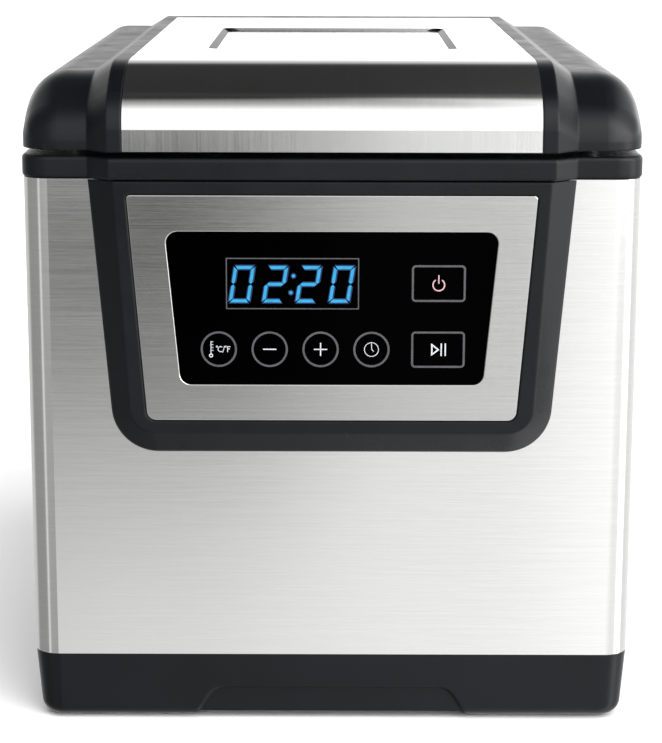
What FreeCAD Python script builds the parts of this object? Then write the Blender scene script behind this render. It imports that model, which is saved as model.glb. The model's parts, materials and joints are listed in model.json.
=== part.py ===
import FreeCAD, Part
import math
import os
import re

import Sketcher
from FreeCAD import Rotation, Vector

# A countertop sous vide water oven, in millimetres. +Z is up, the front faces -Y, and the origin is
# the middle of the footprint at the level of the table.

doc = FreeCAD.newDocument("WaterOven")

SIZES = {
    # case
    "case_wide": 262.0,
    "front_y": -180.0,
    "back_y": 178.0,
    "case_round": 11.0,
    "foot_drop": 1.0,
    "base_top": 31.3,
    "wrap_top": 240.5,
    "rim_top": 250.0,
    "lid_bottom": 252.5,
    "shoulder_top": 282.0,
    "lid_top": 287.5,
    # raised middle of the front, shared by the rim, the lid and the bezel
    "bulge": 8.0,
    "bulge_inner": 93.0,
    "bulge_outer": 102.5,
    # base
    "base_wide": 261.0,
    "base_round": 12.0,
    "base_draft": 4.7,
    "base_wall": 7.0,
    "base_floor": 7.0,
    "base_edge": 6.5,
    "arch_half": 57.5,
    "arch_lift": 2.5,
    "arch_top": 15.0,
    "arch_deep": 4.0,
    "side_channel": 115.0,
    "channel_slope": 6.0,
    "foot_x": 100.0,
    "foot_y": 150.0,
    "foot_radius": 8.0,
    "boss_tall": 13.0,
    "shell_screw_x": 110.0,
    "shell_screw_rise": 4.5,
    # slots for cooling air, in the base and in the rear wall
    "base_slot_wide": 3.0,
    "base_slot_long": 36.0,
    "base_slot_y": -42.0,
    "base_slot_run": 72.0,
    "rear_slot_wide": 3.6,
    "rear_slot_tall": 18.0,
    "rear_slot_x": -92.0,
    "rear_slot_run": 60.0,
    "rear_slot_low": 56.0,
    "rear_slot_high": 80.0,
    # steel sheet and shell
    "sheet": 0.8,
    "wrap_wide": 260.8,
    "gap": 0.3,
    # tank
    "tank_wide": 184.0,
    "tank_front": -136.0,
    "tank_back": 144.0,
    "tank_floor": 100.0,
    "tank_round": 20.0,
    "tank_floor_round": 12.0,
    "flange": 9.0,
    # heater: element loop, clamps and their screws
    "plate_half": 75.0,
    "plate_front": -106.0,
    "plate_back": 114.0,
    "plate_thick": 6.0,
    "lead_end": 14.0,
    "loop_radius": 40.0,
    "tube_radius": 4.0,
    "loop_front": -80.0,
    "loop_bend": 70.0,
    "clamp_front": -40.0,
    "clamp_rear": 50.0,
    "clamp_screw_x": 62.0,
    "clamp_deep": 16.0,
    "clamp_thick": 3.0,
    "stud_radius": 2.5,
    "sensor_y": -114.0,
    "cutout_y": 4.0,
    # power board on the base and control board behind the front panel
    "board_wide": 120.0,
    "board_deep": 100.0,
    "board_x": -40.0,
    "board_y": 80.0,
    "board_hole_x": 52.0,
    "board_hole_y": 42.0,
    "board_thick": 1.6,
    "control_set": 10.2,
    "control_low": 143.5,
    "control_low_x": 77.0,
    "control_high": 228.5,
    "control_high_x": 82.5,
    # front panel
    "bezel_bottom": 123.0,
    "bezel_top_half": 102.3,
    "bezel_low_half": 92.5,
    "face_bottom": 133.0,
    "face_top_half": 91.3,
    "face_low_half": 85.1,
    "fascia_bottom": 138.5,
    "fascia_top": 234.7,
    "fascia_top_half": 85.8,
    "fascia_low_half": 78.2,
    "opening_bottom": 134.0,
    "opening_top_half": 91.0,
    "opening_low_half": 83.0,
    "glass_bottom": 154.4,
    "glass_top": 219.1,
    "glass_top_half": 69.6,
    "glass_low_half": 63.5,
    "display_wide": 60.0,
    "display_tall": 26.0,
    "display_x": -16.5,
    "display_low": 184.5,
    "key_low": 169.4,
    "key_pitch": 21.45,
    "key_first": -47.6,
    "key_right": 44.8,
    "key_upper": 197.7,
    "buzzer_x": 60.0,
    "buzzer_z": 165.0,
    # lid
    "lid_wall": 3.0,
    "lid_side_round": 16.0,
    "lid_brow_round": 17.5,
    "lid_crown_round": 63.0,
    "lid_rear_round": 10.0,
    "brow_rise": 13.0,
    "crown_set": 24.2,
    "panel_half": 87.0,
    "panel_back": 150.0,
    "panel_sheet": 0.6,
    "panel_bed": 0.8,
    "recess_half": 57.0,
    "recess_front": -84.0,
    "recess_back": 63.0,
    "recess_deep": 1.2,
    "recess_slope": 3.4,
    "recess_end": 1.0,
    "lid_screw_x": 112.0,
    "lid_screw_y": 146.0,
    # hinge
    "hinge_x": 80.0,
    "pivot_y": 183.2,
    "pivot_z": 256.0,
    "knuckle": 4.8,
    "pin_radius": 2.0,
    "bracket_screw_z": 226.0,
    "bracket_screw_x": 7.0,
    "leaf_screw_rise": 10.0,
    "leaf_screw_x": 5.0,
    # inlet
    "inlet_x": 70.0,
    "inlet_z": 66.0,
    "inlet_screw_x": 20.0,
}

dims = doc.addObject("Spreadsheet::Sheet", "Dims")
for row, (alias, size) in enumerate(SIZES.items(), 1):
    dims.set(f"A{row}", alias)
    dims.set(f"B{row}", str(size))
    dims.setAlias(f"B{row}", alias)
doc.recompute()

parts = []


def sized(text):
    """Turn the names of the size sheet inside a formula into cell references."""
    return re.sub(r"[a-z_]+", lambda m: "Dims." + m.group() if m.group() in SIZES else m.group(), text)


def number(text):
    """The present value of a formula of sizes."""
    plain = re.sub(r"[a-z_]+", lambda m: f"({SIZES[m.group()]})" if m.group() in SIZES else m.group(), text)
    return FreeCAD.Units.Quantity(plain).Value


def finish(name, piece):
    """Name a piece and put it on the list of sub-parts."""
    piece.Label = name
    parts.append(piece)
    return piece


def new_body(name):
    return doc.addObject("PartDesign::Body", name)


def sketch_on(body, role, level):
    """An empty sketch on one of the body's own planes, at a level along the plane's normal."""
    sketch = body.newObject("Sketcher::SketchObject", "Sketch")
    plane = next(f for f in body.Origin.OriginFeatures if f.Role == role)
    sketch.AttachmentSupport = [(plane, "")]
    sketch.MapMode = "FlatFace"
    sketch.setExpression("AttachmentOffset.Base.z", sized(level))
    return sketch


def plan(body, level):
    """A sketch seen from above, at height level."""
    return sketch_on(body, "XY_Plane", level)


def front_view(body, level):
    """A sketch seen from the front (x across, z up), at depth y = level."""
    return sketch_on(body, "XZ_Plane", f"-({level})")


def side_view(body, level):
    """A sketch seen from the right (y across, z up), at x = level."""
    return sketch_on(body, "YZ_Plane", level)


def outline(sketch, corners):
    """A closed outline through corners (x, y) or (x, y, rounding), given anticlockwise."""
    spots = [Vector(number(c[0]), number(c[1]), 0) for c in corners]
    radii = [number(c[2]) if len(c) > 2 else 0.0 for c in corners]
    count = len(corners)
    starts, ends, arcs = [], [], []
    for i, spot in enumerate(spots):
        before = (spots[i - 1] - spot).normalize()
        after = (spots[(i + 1) % count] - spot).normalize()
        half_turn = (math.pi - before.getAngle(after)) / 2
        reach = radii[i] * math.tan(half_turn)
        starts.append(spot + after * reach)
        ends.append(spot + before * reach)
        if radii[i]:
            middle = spot + (before + after).normalize() * (radii[i] / math.cos(half_turn))
            arcs.append((middle, before.cross(after).z > 0))
        else:
            arcs.append(None)
    lines = [sketch.addGeometry(Part.LineSegment(starts[i], ends[(i + 1) % count]), False)
             for i in range(count)]
    for i, corner in enumerate(corners):
        line_in, line_out = lines[i - 1], lines[i]
        if arcs[i] is None:
            sketch.addConstraint(Sketcher.Constraint("Coincident", line_in, 2, line_out, 1))
            hold(sketch, line_out, 1, corner)
            continue
        middle, hollow = arcs[i]
        first, last = (starts[i], ends[i]) if hollow else (ends[i], starts[i])
        angles = [math.atan2(p.y - middle.y, p.x - middle.x) for p in (first, last)]
        circle = Part.Circle(middle, Vector(0, 0, 1), radii[i])
        arc = sketch.addGeometry(Part.ArcOfCircle(circle, angles[0], angles[1]), False)
        tip = sketch.addGeometry(Part.Point(spots[i]), True)
        sketch.addConstraint(Sketcher.Constraint("Tangent", line_in, 2, arc, 2 if hollow else 1))
        sketch.addConstraint(Sketcher.Constraint("Tangent", line_out, 1, arc, 1 if hollow else 2))
        sketch.addConstraint(Sketcher.Constraint("PointOnObject", tip, 1, line_in))
        sketch.addConstraint(Sketcher.Constraint("PointOnObject", tip, 1, line_out))
        index = sketch.addConstraint(Sketcher.Constraint("Radius", arc, radii[i]))
        sketch.setExpression(f"Constraints[{index}]", sized(corner[2]))
        hold(sketch, tip, 1, corner)
    return sketch


def hold(sketch, item, end, corner):
    """Hold one point of a sketch at its two distances from the origin."""
    for way, place in zip(("DistanceX", "DistanceY"), corner[:2]):
        index = sketch.addConstraint(Sketcher.Constraint(way, -1, 1, item, end, number(place)))
        sketch.setExpression(f"Constraints[{index}]", sized(place))


def ring(sketch, x, y, radius):
    """A circle in a sketch."""
    middle = Vector(number(x), number(y), 0)
    circle = sketch.addGeometry(Part.Circle(middle, Vector(0, 0, 1), number(radius)), False)
    hold(sketch, circle, 3, (x, y))
    index = sketch.addConstraint(Sketcher.Constraint("Radius", circle, number(radius)))
    sketch.setExpression(f"Constraints[{index}]", sized(radius))
    return sketch


def box_outline(low_x, high_x, low_y, high_y, *rounding):
    """Corners of a rectangle, all with the same rounding if one is given."""
    pairs = ((low_x, low_y), (high_x, low_y), (high_x, high_y), (low_x, high_y))
    return [(*pair, *rounding) for pair in pairs]


def slot_outline(x, y, wide, long):
    """Corners of a slot with nearly round ends, centred on (x, y)."""
    return box_outline(f"{x} - {wide} / 2", f"{x} + {wide} / 2", f"{y} - {long} / 2", f"{y} + {long} / 2",
                       f"{wide} / 2 - 0.1")


def feature(body, kind, sketch, length, back):
    before = body.Shape.Volume if body.Tip else 0.0
    made = body.newObject("PartDesign::" + kind, kind)
    made.Profile = sketch
    made.setExpression("Length", sized(length))
    made.Reversed = back
    return made, before


def pad(body, sketch, length, back=False, draft=None):
    """Add material along the sketch's normal, or against it with back."""
    made, before = feature(body, "Pad", sketch, length, back)
    if draft:
        made.setExpression("TaperAngle", sized(draft))
    doc.recompute()
    if body.Shape.Volume <= before:
        raise ValueError(f"{body.Name}: {made.Name} adds nothing")
    return made


def pocket(body, sketch, length, back=False):
    """Take material away against the sketch's normal, or along it with back."""
    made, before = feature(body, "Pocket", sketch, length, back)
    doc.recompute()
    if body.Shape.Volume >= before - 0.01:
        raise ValueError(f"{body.Name}: {made.Name} cuts nothing")
    return made


def round_edges(body, radius, wanted):
    """Round the edges for which wanted(edge) holds."""
    base = body.Tip
    names = [f"Edge{n}" for n, edge in enumerate(base.Shape.Edges, 1) if wanted(edge)]
    made = body.newObject("PartDesign::Fillet", "Fillet")
    made.Base = (base, names)
    made.setExpression("Radius", sized(radius))
    doc.recompute()
    if "Invalid" in made.State:
        raise ValueError(f"{body.Name}: {made.Name} can't round {len(names)} edges")


def repeat(body, made, span, count):
    """Repeat a feature count times along X over a span, the last one included."""
    pattern = body.newObject("PartDesign::LinearPattern", "Pattern")
    pattern.Originals = [made]
    axis = next(f for f in body.Origin.OriginFeatures if f.Role == "X_Axis")
    pattern.Direction = (axis, [""])
    pattern.setExpression("Length", sized(span))
    pattern.Occurrences = count
    body.Tip = pattern
    doc.recompute()


def all_at(edge, level):
    """Whether a whole edge lies at one height."""
    return abs(edge.BoundBox.ZMin - level) < 0.01 and abs(edge.BoundBox.ZMax - level) < 0.01


def place(piece, x, y, z, rotation=None):
    if rotation:
        piece.Placement = FreeCAD.Placement(Vector(0, 0, 0), rotation)
    for way, formula in zip("xyz", (x, y, z)):
        piece.setExpression(f"Placement.Base.{way}", sized(formula))
    return piece


def block(wide, deep, tall, x, y, z):
    """A box standing on (x, y, z), the middle of its underside."""
    piece = doc.addObject("Part::Box", "Block")
    for name, formula in zip(("Length", "Width", "Height"), (wide, deep, tall)):
        piece.setExpression(name, sized(formula))
    return place(piece, f"{x} - ({wide}) / 2", f"{y} - ({deep}) / 2", z)


TURNS = {
    "X": Rotation(Vector(0, 1, 0), 90),
    "Y": Rotation(Vector(1, 0, 0), -90),
    "Z": Rotation(),
}


def rod(radius, length, x, y, z, along="Z"):
    """A cylinder that starts at (x, y, z) and runs along an axis."""
    piece = doc.addObject("Part::Cylinder", "Rod")
    piece.setExpression("Radius", sized(radius))
    piece.setExpression("Height", sized(length))
    return place(piece, x, y, z, TURNS[along])


def combine(kind, pieces):
    made = doc.addObject("Part::" + kind, kind)
    if kind == "Compound":
        made.Links = pieces
    else:
        made.Shapes = pieces
    doc.recompute()
    return made


def fuse(*pieces):
    return combine("MultiFuse", list(pieces))


def overlap(*pieces):
    return combine("MultiCommon", list(pieces))


def group(*pieces):
    return combine("Compound", list(pieces))


def cut(base, *tools):
    made = doc.addObject("Part::Cut", "Cut")
    made.Base = base
    made.Tool = tools[0] if len(tools) == 1 else fuse(*tools)
    doc.recompute()
    if made.Shape.Volume >= base.Shape.Volume - 0.01:
        raise ValueError(f"{base.Label}: a cut takes nothing away")
    return made


def screw(head, shank, length, x, y, z, along="Z", head_tall="1.6"):
    """A screw whose head starts at (x, y, z); the shank follows on the same axis."""
    shift = {"X": (f"{x} + {head_tall}", y, z), "Y": (x, f"{y} + {head_tall}", z),
             "Z": (x, y, f"{z} + {head_tall}")}[along]
    return fuse(rod(head, head_tall, x, y, z, along), rod(shank, length, *shift, along))


def rear_screw(head, shank, length, x, y, z):
    """A screw driven from behind: its head ends at y, and its shank runs forward from there."""
    return fuse(rod(head, "1.6", x, y, z, "Y"), rod(shank, length, x, f"{y} - ({length})", z, "Y"))


PANEL_FACE = "front_y - bulge"
CORNERS = (("-1", "-1"), ("1", "-1"), ("1", "1"), ("-1", "1"))
TANK_UNDER = "tank_floor - sheet"
LEAF_SCREW_Z = "pivot_z + leaf_screw_rise"
CONTROL_SCREWS = [("-control_low_x", "control_low"), ("control_low_x", "control_low"),
                  ("-control_high_x", "control_high"), ("control_high_x", "control_high")]
LID_SCREWS = [(x, y) for x in ("-lid_screw_x", "lid_screw_x") for y in ("-lid_screw_y", "0", "lid_screw_y")]
FEET = {"foot_front_left": ("-1", "-1"), "foot_front_right": ("1", "-1"),
        "foot_rear_left": ("-1", "1"), "foot_rear_right": ("1", "1")}


# ---------------------------------------------------------------- outlines shared by several pieces

def case_outline(inset, corner="case_round"):
    """The rim's plan: a rounded rectangle whose front steps out by the bulge between two facets."""
    half = f"case_wide / 2 - ({inset})"
    front = f"front_y + {inset}"
    step = f"front_y - bulge + {inset}"
    back = f"back_y - ({inset})"
    turn = f"{corner} - ({inset})"
    shift = f"({inset}) * (sqrt(bulge * bulge + (bulge_outer - bulge_inner) ^ 2)"
    shift = shift + " - (bulge_outer - bulge_inner)) / bulge"
    outer = f"bulge_outer - ({shift})"
    inner = f"bulge_inner - ({shift})"
    return [
        (f"-({half})", front, turn), (f"-({outer})", front), (f"-({inner})", step),
        (inner, step), (outer, front), (half, front, turn), (half, back, turn),
        (f"-({half})", back, turn),
    ]


def tank_outline(grow):
    """The tank's plan, grown outwards."""
    half = f"tank_wide / 2 + {grow}"
    return box_outline(f"-({half})", half, f"tank_front - ({grow})", f"tank_back + {grow}",
                       f"tank_round + {grow}")


def wrap_outline(inset):
    """The steel wrap's plan."""
    half = f"wrap_wide / 2 - ({inset})"
    return box_outline(f"-({half})", half, f"front_y + 0.1 + {inset}", f"back_y - 0.1 - ({inset})",
                       f"case_round - ({inset})")


def panel_outline(grow, low_half, top_half, bottom, top, low_round, top_round):
    """An upright trapezoid seen from the front, wider at the top."""
    low, high = f"{low_half} + {grow}", f"{top_half} + {grow}"
    return [(f"-({low})", f"{bottom} - ({grow})", low_round), (low, f"{bottom} - ({grow})", low_round),
            (high, f"{top} + {grow}", top_round), (f"-({high})", f"{top} + {grow}", top_round)]


def fascia_outline(grow):
    return panel_outline(grow, "fascia_low_half", "fascia_top_half", "fascia_bottom", "fascia_top",
                         f"4 + {grow}", f"1.5 + {grow}")


def glass_outline(grow):
    return panel_outline(grow, "glass_low_half", "glass_top_half", "glass_bottom", "glass_top",
                         f"4.5 + {grow}", f"4.5 + {grow}")


# ---------------------------------------------------------------- base

def arch_edge(edge):
    """Whether an edge is the arch's outline on the front face of the base."""
    box = edge.BoundBox
    reach = number("arch_half + 2")
    level = number("foot_drop + arch_lift"), number("arch_top")
    inside = max(-box.XMin, box.XMax) < reach and box.ZMin > level[0] - 0.1 and box.ZMax < level[1] + 0.1
    on_face = box.YMax < number("front_y + 0.5 + arch_deep") - 0.3
    return inside and on_face and box.ZMax > level[0] + 0.1


def base_tray():
    body = new_body("base_tray")
    half = "base_wide / 2"
    front, back = "front_y + 0.5", "back_y - 0.5"
    top = outline(plan(body, "base_top"), box_outline(f"-{half}", half, front, back, "base_round"))
    pad(body, top, "base_top - foot_drop", back=True, draft="-base_draft")
    bottom = number("foot_drop")
    round_edges(body, "base_edge", lambda edge: all_at(edge, bottom))

    inner = f"{half} - base_wall"
    hollow = outline(plan(body, "base_top"),
                     box_outline(f"-({inner})", inner, f"{front} + base_wall", f"{back} - base_wall", "8"))
    pocket(body, hollow, "base_top - base_floor")

    # a channel with sloping sides crosses the underside both ways and leaves four moulded feet
    for view, side in ((front_view, "arch_half"), (side_view, "side_channel")):
        channel = outline(view(body, "-case_wide"), [
            (f"-({side} + channel_slope)", "0"), (f"{side} + channel_slope", "0"),
            (side, "foot_drop + arch_lift", "4"), (f"-({side})", "foot_drop + arch_lift", "4"),
        ])
        pocket(body, channel, "2 * case_wide", back=view is side_view)

    # the arch: a step in the front wall between the front feet, with a soft edge
    arch_foot = "arch_half + 3"
    arch = outline(front_view(body, f"{front} - 3"), [
        (f"-({arch_foot})", "0"), (arch_foot, "0"), ("arch_half - 6.5", "arch_top", "9"),
        ("-(arch_half - 6.5)", "arch_top", "9"),
    ])
    pocket(body, arch, "3 + arch_deep")
    round_edges(body, "1.5", arch_edge)

    lip = plan(body, "base_top")
    outline(lip, wrap_outline("sheet + gap"))
    outline(lip, wrap_outline("base_wall + gap"))
    pad(body, lip, "8")

    bosses = plan(body, "base_floor")
    for x, y in CORNERS:
        ring(bosses, f"{x} * foot_x", f"{y} * foot_y", "4.5")
        ring(bosses, f"board_x + {x} * board_hole_x", f"board_y + {y} * board_hole_y", "4")
    pad(body, bosses, "boss_tall")

    feet = plan(body, "foot_drop")
    pilots = plan(body, "foot_drop")
    for x, y in CORNERS:
        ring(feet, f"{x} * foot_x", f"{y} * foot_y", "foot_radius + 0.2")
        ring(pilots, f"{x} * foot_x", f"{y} * foot_y", "1.6")
    pocket(body, feet, "2", back=True)
    pocket(body, pilots, "16", back=True)

    board_pilots = plan(body, "base_floor + boss_tall")
    for x, y in CORNERS:
        ring(board_pilots, f"board_x + {x} * board_hole_x", f"board_y + {y} * board_hole_y", "1.2")
    pocket(body, board_pilots, "9")

    first = "-base_slot_run / 2"
    slot = slot_outline(first, "base_slot_y", "base_slot_wide", "base_slot_long")
    vent = outline(plan(body, "base_floor"), slot)
    repeat(body, pocket(body, vent, "base_floor"), "base_slot_run", 9)

    lip_pilots = front_view(body, "back_y - 9")
    for x in ("-shell_screw_x", "shell_screw_x"):
        ring(lip_pilots, x, "base_top + shell_screw_rise", "1.3")
    pocket(body, lip_pilots, "12")
    finish("base_tray", body)


def feet():
    for name, (x, y) in FEET.items():
        foot_x, foot_y = f"{x} * foot_x", f"{y} * foot_y"
        body = new_body(name)
        pad(body, ring(plan(body, "0"), foot_x, foot_y, "foot_radius"), "2.9")
        round_edges(body, "0.8", lambda edge: edge.BoundBox.ZMax < 0.1)
        pocket(body, ring(plan(body, "0"), foot_x, foot_y, "4.4"), "1.8", back=True)
        pocket(body, ring(plan(body, "0"), foot_x, foot_y, "1.7"), "4", back=True)
        finish(name, body)
    screws = [screw("3.4", "1.6", "13", f"{x} * foot_x", f"{y} * foot_y", "0.2") for x, y in FEET.values()]
    finish("foot_screws", group(*screws))


# ---------------------------------------------------------------- shell

def body_wrap():
    body = new_body("body_wrap")
    wall = plan(body, "base_top")
    outline(wall, wrap_outline("0"))
    outline(wall, wrap_outline("sheet"))
    pad(body, wall, "wrap_top - base_top")

    window = outline(front_view(body, "front_y - 5"),
                     panel_outline("0", "opening_low_half", "opening_top_half", "opening_bottom",
                                   "wrap_top + 1", "6", "0.5"))
    pocket(body, window, "10")

    holes = front_view(body, "back_y - 5")
    outline(holes, box_outline("inlet_x - 13.8", "inlet_x + 13.8", "inlet_z - 10.3", "inlet_z + 10.3", "2"))
    for x in ("inlet_x - inlet_screw_x", "inlet_x + inlet_screw_x"):
        ring(holes, x, "inlet_z", "1.7")
    for x in ("-shell_screw_x", "shell_screw_x"):
        ring(holes, x, "base_top + shell_screw_rise", "1.7")
    for side in ("-1", "1"):
        for shift in ("-bracket_screw_x", "bracket_screw_x"):
            ring(holes, f"{side} * hinge_x + {shift}", "bracket_screw_z", "1.7")
    pocket(body, holes, "10")

    slots = front_view(body, "back_y - 5")
    for z in ("rear_slot_low", "rear_slot_high"):
        outline(slots, slot_outline("rear_slot_x", z, "rear_slot_wide", "rear_slot_tall"))
    repeat(body, pocket(body, slots, "10"), "rear_slot_run", 7)
    finish("body_wrap", body)


def shell_screws():
    screws = [rear_screw("2.9", "1.3", "9", x, "back_y - 0.1", "base_top + shell_screw_rise")
              for x in ("-shell_screw_x", "shell_screw_x")]
    finish("shell_screws", group(*screws))


def top_rim():
    body = new_body("top_rim")
    collar = plan(body, "wrap_top")
    outline(collar, case_outline("0"))
    outline(collar, tank_outline("sheet + 0.5"))
    pad(body, collar, "rim_top - wrap_top")
    levels = (number("wrap_top"), number("rim_top"))
    reach = number("tank_wide / 2 + 5"), number("tank_back + 5")

    def outer_edge(edge):
        box = edge.BoundBox
        far = max(abs(box.XMin), abs(box.XMax)) > reach[0] or max(-box.YMin, box.YMax) > reach[1]
        return far and any(all_at(edge, level) for level in levels)

    round_edges(body, "1.5", outer_edge)
    ledge = outline(plan(body, "rim_top"), tank_outline("flange + sheet + 0.5"))
    pocket(body, ledge, "sheet + 0.5")
    hollow = plan(body, "wrap_top")
    outline(hollow, wrap_outline("sheet + gap + 1.9"))
    outline(hollow, tank_outline("5"))
    pocket(body, hollow, "6.5", back=True)
    skirt = plan(body, "wrap_top")
    outline(skirt, wrap_outline("sheet + gap"))
    outline(skirt, wrap_outline("sheet + gap + 1.9"))
    pad(body, skirt, "6.5", back=True)
    clear = outline(plan(body, "wrap_top - 7"), box_outline("-106", "106", "front_y - 1", "front_y + 12"))
    pocket(body, clear, "7", back=True)
    finish("top_rim", body)


# ---------------------------------------------------------------- tank and heater

def tank_form(grow, top):
    """The solid inside of the tank, grown outwards, with a rounded bottom."""
    body = new_body("TankForm")
    foot = f"tank_floor - ({grow})"
    pad(body, outline(plan(body, foot), tank_outline(grow)), f"{top} - ({foot})")
    low = number(foot)
    round_edges(body, f"tank_floor_round + {grow}", lambda edge: all_at(edge, low))
    return body


def inner_tank():
    outside = tank_form("sheet", "rim_top")
    lip = outline(plan(outside, "rim_top - sheet"), tank_outline("flange + sheet"))
    pad(outside, lip, "sheet")
    finish("inner_tank", cut(outside, tank_form("0", "rim_top + 5")))


def tank_wraps():
    seal = new_body("tank_seal")
    strip = plan(seal, "rim_top - sheet - 0.5")
    outline(strip, tank_outline("flange + sheet - 0.5"))
    outline(strip, tank_outline("sheet + 1"))
    pad(seal, strip, "0.5")
    finish("tank_seal", seal)

    foam = new_body("tank_insulation")
    jacket = plan(foam, "tank_floor + 14")
    outline(jacket, tank_outline("sheet + gap + 10"))
    outline(jacket, tank_outline("sheet + gap"))
    pad(foam, jacket, "wrap_top - tank_floor - 20")
    finish("tank_insulation", foam)


def heater():
    plate = new_body("heater_plate")
    face = outline(plan(plate, f"{TANK_UNDER} - plate_thick"),
                   box_outline("-plate_half", "plate_half", "plate_front", "plate_back", "10"))
    pad(plate, face, "plate_thick")
    finish("heater_plate", plate)

    level = f"{TANK_UNDER} - plate_thick - tube_radius"
    sides = ("-loop_radius", "loop_radius")
    legs = [rod("tube_radius", "loop_bend - loop_front", x, "loop_front", level, "Y") for x in sides]
    bend = doc.addObject("Part::Torus", "Bend")
    bend.setExpression("Radius1", sized("loop_radius"))
    bend.setExpression("Radius2", sized("tube_radius"))
    bend.Angle3 = 180
    place(bend, "0", "loop_bend", level)
    ends = [rod("1.8", "lead_end", x, "loop_front - lead_end", level, "Y") for x in sides]
    finish("heater_element", fuse(*legs, bend, *ends))

    bars, studs, nuts = [], [], []
    bar_level = f"{level} - tube_radius - clamp_thick"
    spots = ("-clamp_screw_x", "clamp_screw_x")
    for y in ("clamp_front", "clamp_rear"):
        bar = block("2 * plate_half", "clamp_deep", "clamp_thick", "0", y, bar_level)
        bars.append(cut(bar, *[rod("stud_radius + 0.4", "6", x, y, f"{bar_level} - 1") for x in spots]))
        for x in spots:
            studs.append(rod("stud_radius", "18", x, y, f"{bar_level} - 7"))
            nut = doc.addObject("Part::Prism", "Nut")
            nut.Polygon = 6
            nut.setExpression("Circumradius", "4.6")
            nut.setExpression("Height", "4")
            place(nut, x, y, f"{bar_level} - 4")
            nuts.append(cut(nut, rod("stud_radius", "6", x, y, f"{bar_level} - 5")))
    finish("heater_clamps", group(*bars))
    finish("heater_studs", group(*studs))
    finish("heater_nuts", group(*nuts))

    probe_foot = f"{TANK_UNDER} - 8.2"
    probe = fuse(rod("4", "8", "0", "sensor_y", probe_foot),
                 rod("2", "6", "0", "sensor_y", f"{probe_foot} - 6"))
    finish("tank_sensor", probe)
    button_foot = f"{TANK_UNDER} - plate_thick - 5.2"
    disc = fuse(rod("10", "5", "0", "cutout_y", button_foot),
                block("8", "22", "3", "0", "cutout_y", f"{button_foot} - 3"))
    finish("thermal_cutout", disc)


# ---------------------------------------------------------------- electrics

def power_electrics():
    level = "base_floor + boss_tall"
    board = block("board_wide", "board_deep", "board_thick", "board_x", "board_y", level)
    spots = [(f"board_x + {x} * board_hole_x", f"board_y + {y} * board_hole_y") for x, y in CORNERS]
    finish("power_board", cut(board, *[rod("1.7", "4", x, y, f"{level} - 1") for x, y in spots]))
    top = f"{level} + board_thick"
    screws = [fuse(rod("3", "1.8", x, y, top), rod("1.2", "9", x, y, f"{top} - 9")) for x, y in spots]
    finish("power_board_screws", group(*screws))

    left = "board_x - 22"
    core = block("42", "22", "34", left, "board_y + 12", top)
    winding = block("28", "36", "26", left, "board_y + 12", f"{top} + 4")
    finish("power_transformer", fuse(core, winding))
    relay = new_body("power_relay")
    case = box_outline("board_x + 12", "board_x + 32", "board_y + 8", "board_y + 38", "1")
    pad(relay, outline(plan(relay, top), case), "18")
    finish("power_relay", relay)
    finish("filter_capacitor", rod("7", "20", "board_x + 20", "board_y - 10", top))
    row = "board_y - 20"
    barrel = rod("2.8", "20", "board_x + 35", row, f"{top} + 5.5", "X")
    clips = [block("4", "7", "7", x, row, top) for x in ("board_x + 37", "board_x + 53")]
    finish("mains_fuse", fuse(barrel, *clips))
    strip = block("36", "10", "10", left, "board_y - 30", top)
    ways = [rod("2.2", "6", f"{left} + {x}", "board_y - 30", f"{top} + 5") for x in ("-12", "0", "12")]
    finish("terminal_block", cut(strip, *ways))

    rise = f"{TANK_UNDER} - plate_thick - tube_radius - base_floor"
    leads = [rod("1.1", rise, x, "loop_front - 8", "base_floor")
             for x in ("-loop_radius - 3", "loop_radius + 3")]
    finish("heater_leads", group(*leads))


def ribbon_cable():
    body = new_body("ribbon_cable")
    back, drop, low = "front_y + 12", "front_y + 20", "base_floor + 15"
    thick = "0.8"
    path = outline(side_view(body, "-12"), [
        (back, "150"), (f"{drop} - {thick}", "150", "2"), (f"{drop} - {thick}", low, "5.8"), ("36", low),
        ("36", f"{low} + {thick}"), (drop, f"{low} + {thick}", "5"), (drop, f"150 + {thick}", "2.8"),
        (back, f"150 + {thick}"),
    ])
    pad(body, path, "14")
    finish("ribbon_cable", body)


def control_electrics():
    board_y = "front_y + control_set"
    board = new_body("control_board")
    face = outline(front_view(board, board_y),
                   panel_outline("0", "opening_low_half - 3", "opening_top_half - 5", "opening_bottom + 6",
                                 "wrap_top - 8.5", "2", "2"))
    pad(board, face, "board_thick", back=True)
    holes = front_view(board, board_y)
    for x, z in CONTROL_SCREWS:
        ring(holes, x, z, "1.5")
    pocket(board, holes, "2")
    finish("control_board", board)
    screw_y = f"{board_y} + board_thick"
    screws = [rear_screw("2.6", "1.3", "7", x, screw_y, z) for x, z in CONTROL_SCREWS]
    finish("control_board_screws", group(*screws))

    glass_back = f"{PANEL_FACE} + 2.3"
    depth = f"{board_y} - ({glass_back})"
    display = block("display_wide", depth, "display_tall", "display_x", f"({board_y} + {glass_back}) / 2",
                    "display_low")
    finish("display_module", display)
    keys = [(f"key_first + {column} * key_pitch", "key_low") for column in range(4)]
    keys = keys + [("key_right", "key_upper"), ("key_right", "key_low")]
    finish("touch_pillars", group(*[rod("4.5", depth, x, glass_back, z, "Y") for x, z in keys]))
    finish("buzzer", rod("6", "8", "buzzer_x", f"{board_y} + board_thick", "buzzer_z", "Y"))


# ---------------------------------------------------------------- front panel

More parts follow.
